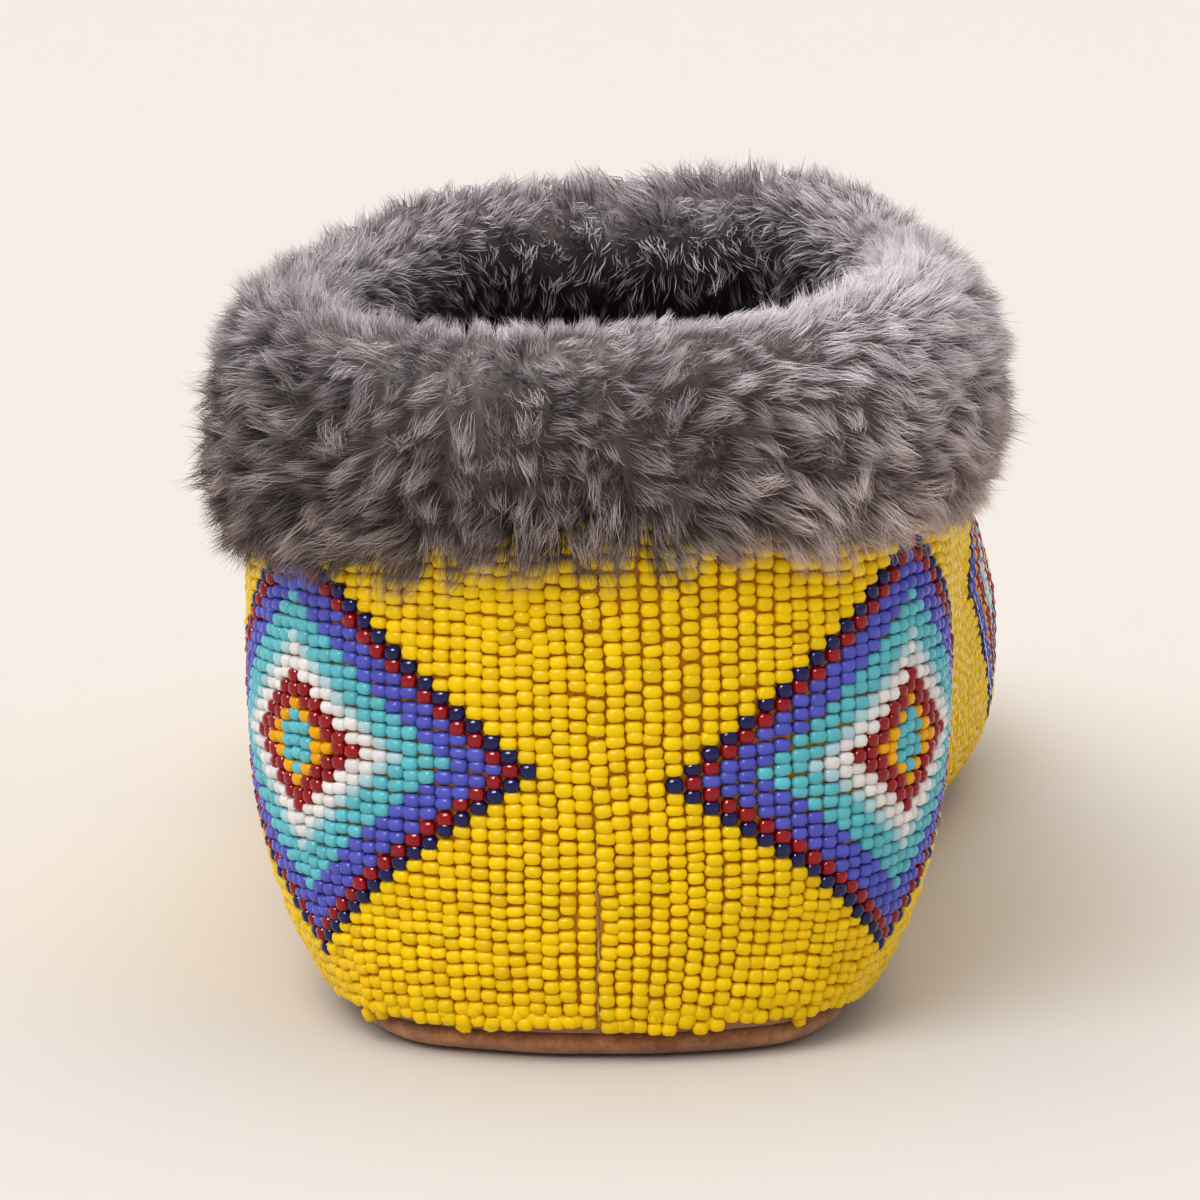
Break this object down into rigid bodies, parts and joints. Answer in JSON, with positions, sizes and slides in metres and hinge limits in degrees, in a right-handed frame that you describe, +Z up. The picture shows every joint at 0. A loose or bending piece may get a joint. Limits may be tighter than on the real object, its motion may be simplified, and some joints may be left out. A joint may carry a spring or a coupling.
{
  "type": "moccasin",
  "caption": "Left moccasin with a soft suede sole, a hide upper covered in seed beads worked with stepped diamonds, and a fur lining turned out as a deep cuff.",
  "frame": {"origin": "on the floor, under the middle of the shoe's box", "axes": "+Y towards the toe, +X towards the inner side of the foot, +Z up"},
  "size_m": [0.1056, 0.264, 0.0967],
  "materials": {
    "suede": "brown napped suede",
    "hide": "tan smoked hide",
    "seed_beads": "glossy seed beads, mostly opaque yellow",
    "fur": "dense grey fur"
  },
  "bodies": {
    "root": {"sole": "suede", "upper": "hide", "beadwork": "seed_beads", "insole": "fur", "fur_cuff": "fur"}
  },
  "joints": []
}
